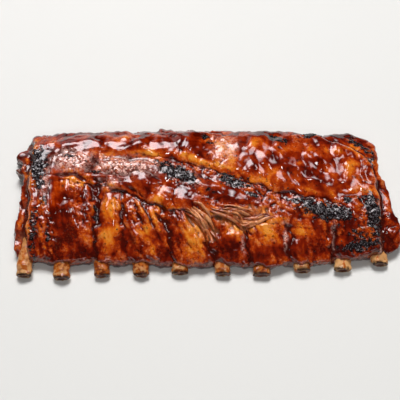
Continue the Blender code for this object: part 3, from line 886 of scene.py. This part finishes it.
# The glaze's shades from dark to light, the colours that lie over them, and the size of each kind of speck.
glaze = {
    "shades": [(0.0, paint(72, 8, 1)), (0.25, paint(120, 25, 2)), (0.5, paint(168, 56, 6)),
               (0.75, paint(206, 102, 18)), (1.0, paint(224, 140, 48))],
    "tan": paint(190, 128, 76),
    "crumb": paint(196, 130, 88),
    # The colour of painted glints.
    "glint": paint(240, 142, 84),
    "char": paint(15, 11, 12),
    # Grey ash on char, and painted glints on it.
    "ashAndGlint": paint(142, 134, 140),
    # Painted shade in hollows and cracks, and the dark of sauce pooled there.
    "pooledShade": paint(60, 10, 3),
    "burnt": paint(46, 10, 4),
    "wall": paint(132, 66, 46),
    # The colour of fat speckles in the cut flesh.
    "fatAndSheen": paint(184, 128, 96),
    # The colour of painted highlights.
    "sheenColour": paint(240, 188, 174),
    "fibres": paint(84, 26, 14),
    "under": paint(186, 128, 88),
    "between": paint(120, 56, 32),
    "wetness": 0.05,
    "coarseSize": 0.0022,
    "fineSize": 0.0009,
    "crumbSize": 0.004,
    "glintSize": 0.0018,
    "scorchSize": 0.0032,
    "fatSize": 0.005,
    "fibreSize": 0.0025,
    "sheenSpeckSize": 0.0026,
    "crackSize": 0.005,
    "ashGlintSize": 0.0012,
    "bumpDepth": 0.0005,
}


# Glaze over meat: a dark to light ramp by warmth, then crumbs, painted glints, scorches and painted shade in
# hollows; flesh and fibres low on the walls; membrane underneath, darker between the ribs; painted highlight
# specks with dark cracks; and char with ash and painted glints on top.
def glazedMeatMaterial():
    m = Shader("sticky glaze")
    warmth, sauce, pooledShade, char = m.field("warmth"), m.field("sauce"), m.field("pooledShade"), m.field("char")
    torn, wall, under, paintedSheen = m.field("torn"), m.field("wall"), m.field("under"), m.field("paintedSheen")
    coarse, fine, medium = m.grain(glaze["coarseSize"]), m.grain(glaze["fineSize"], 2), m.grain(0.006)
    bare = (1 - sauce.rise(0.02, 0.45)).clamped()
    shade = warmth + (coarse - 0.5) * (0.26 + bare * 0.4) + (fine - 0.5) * (0.1 + bare * 0.3)
    crumbly = bare * warmth.rise(0.25, 0.5) * m.grain(glaze["crumbSize"]).rise(0.52, 0.66)
    # Glints: painted highlights, small light specks in the colour.
    glints = m.grain(glaze["glintSize"], 2).rise(0.56, 0.66) * (warmth.rise(0.25, 0.6) * 0.28 + bare * 0.06)
    flesh = m.laid(
        glaze["wall"],
        (glaze["fatAndSheen"], m.grain(glaze["fatSize"]).rise(0.5, 0.64) * 0.8),
        (glaze["fibres"], m.grain(glaze["fibreSize"]).rise(0.45, 0.6) * 0.7),
    )
    membrane = m.laid(
        glaze["under"],
        (glaze["between"], 1 - m.field("overBone") * (0.6 + medium * 0.6)),
        (glaze["fibres"], (coarse - 0.4) * 0.8 + m.grain(0.02).rise(0.5, 0.7) * 0.35),
    )
    # Painted highlight specks, broken by dark cracks.
    sheenSpecks = m.grain(glaze["sheenSpeckSize"]).rise(0.44, 0.52) * (0.4 + medium.rise(0.36, 0.56) * 0.5)
    broken = m.grain(glaze["crackSize"])
    cracks = broken.rise(0.45, 0.5) * (1 - broken.rise(0.5, 0.55))
    colour = m.laid(
        m.ramp(shade, glaze["shades"]),
        (glaze["crumb"], crumbly * 0.3),
        (glaze["glint"], glints),
        # Painted shade in the hollows.
        (glaze["pooledShade"], pooledShade.rise(0.2, 0.9) * 0.85),
        (glaze["burnt"], m.grain(glaze["scorchSize"]).rise(0.62, 0.7) * 0.7),
        (glaze["tan"], torn * 0.25),
        (flesh, wall * 0.75),
        (membrane, under * 0.8),
        (glaze["sheenColour"], paintedSheen * (0.12 + sheenSpecks)),
        (glaze["pooledShade"], paintedSheen * cracks * 0.8),
        (glaze["burnt"], char * 1.5),
        (glaze["char"], char * (0.5 + m.grain(glaze["glintSize"]).rise(0.36, 0.52) * 0.6)),
        # Ash and painted grey glints on the char.
        (glaze["ashAndGlint"], char * m.grain(glaze["ashGlintSize"], 2).rise(0.54, 0.66) * 0.5),
    )
    height = coarse * (0.05 + bare * 0.85 + char * 1.3) + fine * (0.02 + bare * 0.4 + char * 0.7)
    wet = (1 - char * 0.2 - under * 0.7 - torn * 0.3 - m.field("dull")).clamped()
    bumps = m.bump(height, glaze["bumpDepth"], 0.7)
    m.surfaceIs(Base_Color=colour, Roughness=0.5, Normal=bumps, Coat_Weight=wet)
    m.surfaceIs(Specular_IOR_Level=0.0, Coat_Roughness=glaze["wetness"], Coat_IOR=1.58)
    return m.material


# Each bone's stain and plumpness are in order from the left. The stain lies on the upper side,
# turned a little.
boneLook = {
    "sides": 40,
    "shaftRings": 60,
    "faceRings": [0.06, 0.18, 0.3, 0.42, 0.52, 0.6, 0.7, 0.82, 0.92, 0.98],
    "recess": 0.0009,
    "rimRound": 0.0007,
    "rimWidth": 0.0022,
    "tipRounding": 0.2,
    "tipRun": 0.0018,
    "plumpRun": 0.2,
    "faceDepth": 0.0012,
    "knobbly": 0.0013,
    "knobSize": 0.006,
    "chipped": 0.0008,
    "chipSize": 0.0045,
    "stainTurn": np.pi / 20,
    "tan": paint(250, 205, 140),
    "stain": paint(214, 116, 34),
    "dark": paint(112, 44, 14),
    "rim": paint(34, 12, 6),
    "marrow": paint(74, 32, 18),
    "stained": [0.45, 0.6, 1.0, 0.75, 0.55, 0.65, 0.8, 0.4, 0.2, 0.3],
    "plump": [1.04, 1.1, 1.04, 1.1, 1.12, 1.0, 1.1, 1.12, 1.18, 1.2],
}


# A bone is a loft of ovals: over the cut face from its middle to the rim, then along the shaft into
# the meat. Knobs stand out from its middle line, most at the tip, and the cut face is chipped.
def makeBone(name):
    frontY, backY = (end[1] for end in boneEnds(name))
    number = boneNodes.index(name)
    faceShare = np.array(boneLook["faceRings"])
    shaft = np.linspace(0, 1, boneLook["shaftRings"]) ** 1.6
    share = np.concatenate([faceShare, np.ones_like(shaft)])
    depth = boneLook["recess"] * (1 - rise(0.45, 0.62, faceShare))
    depth += boneLook["rimRound"] * rise(0.8, 1.0, faceShare)
    shaftFrom = frontY + boneLook["faceDepth"]
    y = np.concatenate([frontY + depth, shaftFrom + shaft * (backY - shaftFrom)])
    back = np.clip((y - frontY) / (backY - frontY), 0, 1)
    flare = 1 + bone["tipFlare"] * np.exp(-back / bone["flareRun"])
    plump = 1 + (boneLook["plump"][number] - 1) * np.exp(-back / boneLook["plumpRun"])
    rounding = 1 - boneLook["tipRounding"] * np.exp(-np.clip(y - frontY, 0, None) / boneLook["tipRun"])
    halfWidth = bone["width"] / 2 * (1 - bone["narrowerAtBack"] * back) * flare * share * plump * rounding
    halfThick = bone["thickness"] / 2 * (1 - bone["thinnerAtBack"] * back) * flare * share * rounding
    tipDrop = bone["tipDrop"] * (1 - rise(0, bone["dropRun"], back))
    centre = underArch(y) + bone["underMeat"] + bone["thickness"] / 2 - tipDrop
    angle = np.linspace(0, 2 * np.pi, boneLook["sides"], endpoint=False)[::-1]  # so that faces look outwards
    axis = np.stack([boneX(name, y), y, centre], axis=-1)[:, None]
    x = boneX(name, y)[:, None] + halfWidth[:, None] * np.cos(angle)
    z = centre[:, None] + halfThick[:, None] * np.sin(angle)
    place = np.stack([x, np.broadcast_to(y[:, None], x.shape), z], axis=-1)
    out = place - axis
    out /= np.linalg.norm(out, axis=-1, keepdims=True) + 1e-9
    knobs = boneLook["knobbly"] * (0.4 + np.exp(-back * 12)) * share
    place = place + out * (noise(place, boneLook["knobSize"], 81, 2) * knobs[:, None])[..., None]
    chips = boneLook["chipped"] * (1 - rise(0.0, 0.02, back))
    place[..., 1] += noise(place, boneLook["chipSize"], 82, 2) * chips[:, None]
    place[..., 2] = np.maximum(place[..., 2], 0.0002)
    piece = tubesMesh("rib" + name[-2:], place)
    alongBone = {
        "face": np.concatenate([np.ones_like(faceShare), np.zeros_like(shaft)]),
        "marrow": np.concatenate([1 - rise(0.4, 0.7, faceShare), np.zeros_like(shaft)]),
        "rim": bell(y - frontY, 0.0006, boneLook["rimWidth"]) * rise(0.7, 0.95, share),
        "inwards": rise(0.003, 0.01, y - frontY),
        "stained": boneLook["stained"][number] * np.ones_like(y),
    }
    fields = {field: np.outer(values, np.ones_like(angle)) for field, values in alongBone.items()}
    fields["upper"] = np.outer(np.ones_like(y), rise(-0.5, 0.6, np.sin(angle + boneLook["stainTurn"])))
    addFields(piece, fields)
    return piece


# Roasted bone: tan, stained towards the meat and on its upper side, with a dark marrow and a burnt rim.
def boneMaterial():
    m = Shader("roasted bone")
    face, marrow, rim, inwards = (m.field(name) for name in ("face", "marrow", "rim", "inwards"))
    each, upper = m.field("stained"), m.field("upper")
    slow, quick = m.grain(0.006), m.grain(0.0012)
    blotches = slow.rise(0.6 - each * 0.25, 0.7 - each * 0.2)
    stained = (blotches + inwards * (0.1 + each * 0.4) + upper * (0.15 + each * 0.3)).clamped()
    colour = m.laid(
        boneLook["tan"],
        (boneLook["stain"], stained),
        (boneLook["dark"], upper * (0.3 + each * 0.3) + each * m.grain(0.003).rise(0.46, 0.62) * 0.6),
        (boneLook["marrow"], (marrow * 0.8 + face * 0.7) * (0.5 + quick * 0.8)),
        (boneLook["rim"], rim * m.grain(0.0045).rise(0.36, 0.52)),
    )
    height = quick * (0.5 + marrow * 1.5) + slow * 1.5
    m.surfaceIs(Base_Color=colour, Roughness=0.45, Normal=m.bump(height, 0.0004, 0.6))
    m.surfaceIs(Coat_Weight=(0.2 + stained * 0.6).clamped(), Coat_Roughness=0.1, Specular_IOR_Level=0.1)
    return m.material


# Bundles of pulled meat as (u and v of the start, u and v of the end, strands, spread, bow sideways, hump).
pulled = {
    "bundles": [
        (-0.1, -0.25, 0.02, -0.64, 12, 0.0052, 0.004, 0.0034),
        (0.02, -0.3, 0.19, -0.57, 9, 0.0034, 0.006, 0.0032),
        (0.15, -0.44, 0.31, -0.38, 14, 0.0044, -0.003, 0.0034),
        (0.08, -0.32, 0.25, -0.42, 6, 0.003, 0.003, 0.0024),
    ],
    "halfWidth": 0.00115,
    "flatness": 0.8,
    "laneJitter": 0.25,
    "startJitter": 0.003,
    "reachJitter": 0.12,
    "bowJitter": 0.0012,
    "waver": 0.0009,
    "lumps": 0.0003,
    "lumpSize": 0.0024,
    "sides": 12,
    "rings": 36,
    "tan": paint(226, 158, 106),
    "glazed": paint(168, 66, 18),
    "dark": paint(64, 14, 4),
}


# Rings of points round a path: an arm to the side and one upwards, turned through a full circle.
def tubeAround(path, halfWidth, halfHeight, sides):
    ahead = np.gradient(path, axis=-2)
    ahead /= np.linalg.norm(ahead, axis=-1, keepdims=True)
    arm = np.cross(ahead, (0, 0, 1))
    arm /= np.linalg.norm(arm, axis=-1, keepdims=True)
    angle = np.linspace(0, 2 * np.pi, sides, endpoint=False)[:, None]
    wide = (arm * halfWidth[..., None])[..., None, :] * np.cos(angle)
    tall = (np.cross(arm, ahead) * halfHeight[..., None])[..., None, :] * np.sin(angle)
    return path[..., None, :] + wide - tall


# Each strand runs from start to end with a bow to one side and a low hump, thinning to both ends.
def makePulledMeat(tops):
    dice = np.random.default_rng(11)
    t = np.linspace(0, 1, pulled["rings"])
    paths, widths = [], []
    for u0, v0, u1, v1, count, spread, bow, hump in pulled["bundles"]:
        start = middle[:2] + np.array([u0, v0]) * half[:2]
        end = middle[:2] + np.array([u1, v1]) * half[:2]
        ahead = (end - start) / np.linalg.norm(end - start)
        side = np.array([-ahead[1], ahead[0]])
        for lane in np.linspace(-1, 1, count):
            off = spread * (lane + pulled["laneJitter"] * dice.normal())
            reach = 1 + pulled["reachJitter"] * dice.normal()
            first = start + side * off * 0.7 + ahead * pulled["startJitter"] * dice.normal()
            last = first + (end - start) * reach + side * off * 0.6 * dice.uniform(-0.6, 1)
            sway = (bow + pulled["bowJitter"] * dice.normal()) * np.sin(np.pi * t)
            sway += pulled["waver"] * np.sin(2 * np.pi * (t * dice.uniform(0.8, 1.8) + dice.uniform()))
            curve = first + (last - first) * t[:, None] + side * sway[:, None]
            z = heightUnder(tops, curve[:, 0], curve[:, 1])
            lift = hump * np.sin(np.pi * t) ** 0.7 * dice.uniform(0.0, 1.0)
            lift -= pulled["waver"] * np.cos(2 * np.pi * t)
            z = np.convolve(np.pad(z, 4, mode="edge"), np.ones(9) / 9, mode="valid") + lift
            paths.append(np.concatenate([curve, z[:, None]], axis=1))
            widths.append(pulled["halfWidth"] * dice.uniform(0.5, 1.35) * (0.2 + np.sin(np.pi * t) ** 0.5))
    paths, widths = np.array(paths), np.array(widths)
    widths *= 1 + 0.25 * noise(paths, 0.007, 93, 1)
    tubes = tubeAround(paths, widths, widths * pulled["flatness"], pulled["sides"])
    tubes = tubes + pulled["lumps"] * noise(tubes, pulled["lumpSize"], 91, 2)[..., None]
    piece = tubesMesh("pulledMeat", tubes)
    every = np.ones(tubes.shape[:3])
    tones = dice.uniform(0, 1, len(paths))[:, None, None]
    addFields(piece, {"tone": tones * every, "ending": ((2 * t - 1) ** 4)[:, None] * every})
    return piece


# Pulled meat: tan strands, glazed by their own tone and at their ends, and dark where the tone is strongest.
def pulledMaterial():
    m = Shader("pulled meat")
    tone, ending = m.field("tone"), m.field("ending")
    slow, quick = m.grain(0.006, 2), m.grain(0.001)
    colour = m.laid(
        pulled["tan"],
        (pulled["glazed"], slow.rise(0.45, 0.62) * 0.5 + tone * 0.7 + ending * 0.6),
        (pulled["dark"], (tone * 1.6 - 0.7).clamped() * quick * 1.4 + ending * quick),
    )
    m.surfaceIs(Base_Color=colour, Roughness=0.45, Normal=m.bump(quick, 0.0005, 0.8), Specular_IOR_Level=0.0)
    m.surfaceIs(Coat_Weight=(slow.rise(0.3, 0.5) * 0.5 + 0.5).clamped(), Coat_Roughness=0.06, Coat_IOR=1.55)
    return m.material


# Charred crumbs as (u, v, spread along, spread across, turn in degrees, crumbs), and how large they are.
crumbs = {
    "patches": [
        (-0.886, 0.44, 0.007, 0.014, 0, 26), (-0.15, 0.235, 0.022, 0.007, -25, 44),
        (0.137, 0.12, 0.014, 0.005, -20, 26), (0.245, -0.09, 0.006, 0.003, -10, 12),
        (0.62, -0.31, 0.022, 0.007, -14, 44), (0.855, -0.34, 0.006, 0.02, 8, 36),
        (0.793, -0.75, 0.017, 0.004, 10, 26), (0.82, 0.7, 0.014, 0.003, -38, 18),
        (0.566, 0.88, 0.008, 0.004, 0, 12), (-0.892, -0.6, 0.002, 0.026, 0, 22),
        (-0.72, 0.5, 0.004, 0.003, 0, 6), (-0.865, 0.07, 0.004, 0.004, 0, 8),
        (0.3, 0.1, 0.06, 0.03, -14, 26), (-0.6, -0.1, 0.05, 0.04, 0, 22), (0.5, -0.6, 0.06, 0.02, 0, 12),
    ],
    "halfWidth": (0.00025, 0.00075),
    "flatness": 0.7,
    "lumpiness": 0.3,
    "sides": 7,
    "rings": 5,
    "colour": paint(22, 17, 15),
}


# Each crumb is a small lumpy ball that sits half sunk in the glaze.
def makeCrumbs(tops):
    dice = np.random.default_rng(5)
    places = []
    for u, v, longHalf, shortHalf, turn, count in crumbs["patches"]:
        c, s = np.cos(np.radians(turn)), np.sin(np.radians(turn))
        along, across = dice.normal(size=(2, count)) * np.array([[longHalf], [shortHalf]]) * 0.6
        x = middle[0] + u * half[0] + along * c - across * s
        y = middle[1] + v * half[1] + along * s + across * c
        places.append(np.stack([x, y, heightUnder(tops, x, y)], axis=-1))
    places = np.concatenate(places)
    size = dice.uniform(*crumbs["halfWidth"], len(places))[:, None, None]
    level = np.linspace(-0.92, 0.92, crumbs["rings"])[None, :, None]
    angle = np.linspace(0, 2 * np.pi, crumbs["sides"], endpoint=False)[None, None, :]
    ring = np.sqrt(1 - level**2) * size
    height = level * size * crumbs["flatness"] * np.ones_like(angle)
    balls = np.stack([ring * np.cos(angle), ring * np.sin(angle), height], axis=-1)
    balls *= 1 + crumbs["lumpiness"] * dice.normal(size=balls.shape[:3])[..., None]
    balls += places[:, None, None, :]
    return tubesMesh("charredCrumbs", balls)


# Char: near black, and half wet with glaze.
def crumbMaterial():
    m = Shader("char")
    m.surfaceIs(Base_Color=crumbs["colour"], Roughness=0.5, Specular_IOR_Level=0.3)
    m.surfaceIs(Coat_Weight=0.6, Coat_Roughness=0.1)
    return m.material


# Each light is its place, its width and height, and its radiance. A window is its place and
# its panes of (distance, side, radiance).
studio = {
    "target": (-0.0059, -0.0008, 0.02),
    "distance": 0.86,
    "elevation": 65,
    "lens": 85,
    "worldLight": 0.03,
    "floor": paint(221, 220, 217),
    "floorHalf": 12,
    "mauve": (1.0, 0.93, 0.955),
    "window": ((-0.41, 1.12, 1.21), [(1.04, 1.144, 2.4), (1.02, 0.9384, 3.8), (1, 0.74, 5.6)]),
    "horizon": ((-0.8, 1.8, 0.45), (1.3, 0.5), 0.8),
    "rim": ((0, -1.45, 0.5), (1.8, 0.16), 3),
    "lamp": ((0.28, 0.72, 1.1), (0.17, 0.17), 22),
    "side window": ((0.5, 0.56, 1.1), [(1.042, 0.42, 2.6), (1.028, 0.28, 4.6)]),
    "sparkles": [((-0.3, 0.3, 1.2), (0.09, 0.09), 24), ((0.3, 0.22, 1.2), (0.09, 0.09), 24)],
    "key": ((-0.1, 1.5, 3.0), (1.1, 1.1), 29),
    "fill": ((0.1, -0.9, 1.6), (1.0, 1.0), 2.6),
}


# A flat square under the rack.
def makeFloor():
    mesh = bpy.data.meshes.new("floor")
    side = studio["floorHalf"]
    corners = [(-side, -side, 0), (side, -side, 0), (side, side, 0), (-side, side, 0)]
    mesh.from_pydata(corners, [], [(0, 1, 2, 3)])
    floor = bpy.data.objects.new("floor", mesh)
    bpy.context.scene.collection.objects.link(floor)
    m = Shader("pale floor")
    m.surfaceIs(Base_Color=studio["floor"], Roughness=0.6, Specular_IOR_Level=0.2)
    mesh.materials.append(m.material)


# Puts a light or camera at a place and turns it towards the target.
def aim(item, place, target):
    item.location = place
    item.rotation_euler = (Vector(target) - Vector(place)).to_track_quat("-Z", "Y").to_euler()


# A rectangular light that faces the rack, with its power worked out from its radiance.
def softbox(name, place, size, radiance, colour=(1, 1, 1)):
    light = bpy.data.lights.new(name, "AREA")
    light.shape = "RECTANGLE"
    light.size, light.size_y = size
    light.energy = radiance * np.pi * size[0] * size[1]
    light.color = colour
    item = bpy.data.objects.new(name, light)
    bpy.context.scene.collection.objects.link(item)
    aim(item, place, studio["target"])
    return item


# A light that shows in wet surfaces only.
def reflected(name, place, size, radiance, colour=studio["mauve"]):
    softbox(name, place, size, radiance, colour).visible_diffuse = False


# A light that lights everything but never shows in wet surfaces.
def unseen(name):
    softbox(name, *studio[name]).visible_glossy = False


# A window's panes, one behind another: the furthest is the largest and dimmest, so the light
# fades at the rim.
def windowPanes(name):
    place, panes = studio[name]
    for away, side, radiance in panes:
        reflected(name, Vector(place) * away, (side, side), radiance)


# The lights and the camera.
def makeStudio():
    scene = bpy.context.scene
    scene.view_settings.view_transform = "Standard"
    world = bpy.data.worlds.new("studio")
    world.use_nodes = True
    world.node_tree.nodes["Background"].inputs["Color"].default_value = (*[studio["worldLight"]] * 3, 1)
    scene.world = world
    windowPanes("window")
    reflected("horizon", *studio["horizon"])
    reflected("rim", *studio["rim"])
    unseen("lamp")
    windowPanes("side window")
    for sparkle in studio["sparkles"]:
        reflected("sparkle", *sparkle, (1, 1, 1))
    unseen("key")
    unseen("fill")
    camera = bpy.data.objects.new("camera", bpy.data.cameras.new("camera"))
    camera.data.lens = studio["lens"]
    scene.collection.objects.link(camera)
    tilt = np.radians(studio["elevation"])
    away = studio["distance"] * Vector((0, -np.cos(tilt), np.sin(tilt)))
    aim(camera, Vector(studio["target"]) + away, studio["target"])
    scene.camera = camera


# Gives a piece its material and body, and hides the frame's node that it stands for, if any.
def finishPiece(piece, material, node=None):
    piece.data.materials.append(material)
    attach(piece, "root")
    if node:
        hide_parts(node)


meat, tops = makeMeat()
finishPiece(meat, glazedMeatMaterial(), "meat")
print("meat made:", len(meat.data.polygons), "faces")
boneFinish = boneMaterial()
for name in boneNodes:
    finishPiece(makeBone(name), boneFinish, name)
print("bones made:", len(boneNodes))
finishPiece(makePulledMeat(tops), pulledMaterial())
finishPiece(makeCrumbs(tops), crumbMaterial())
print("pulled meat and crumbs made")
makeFloor()
makeStudio()
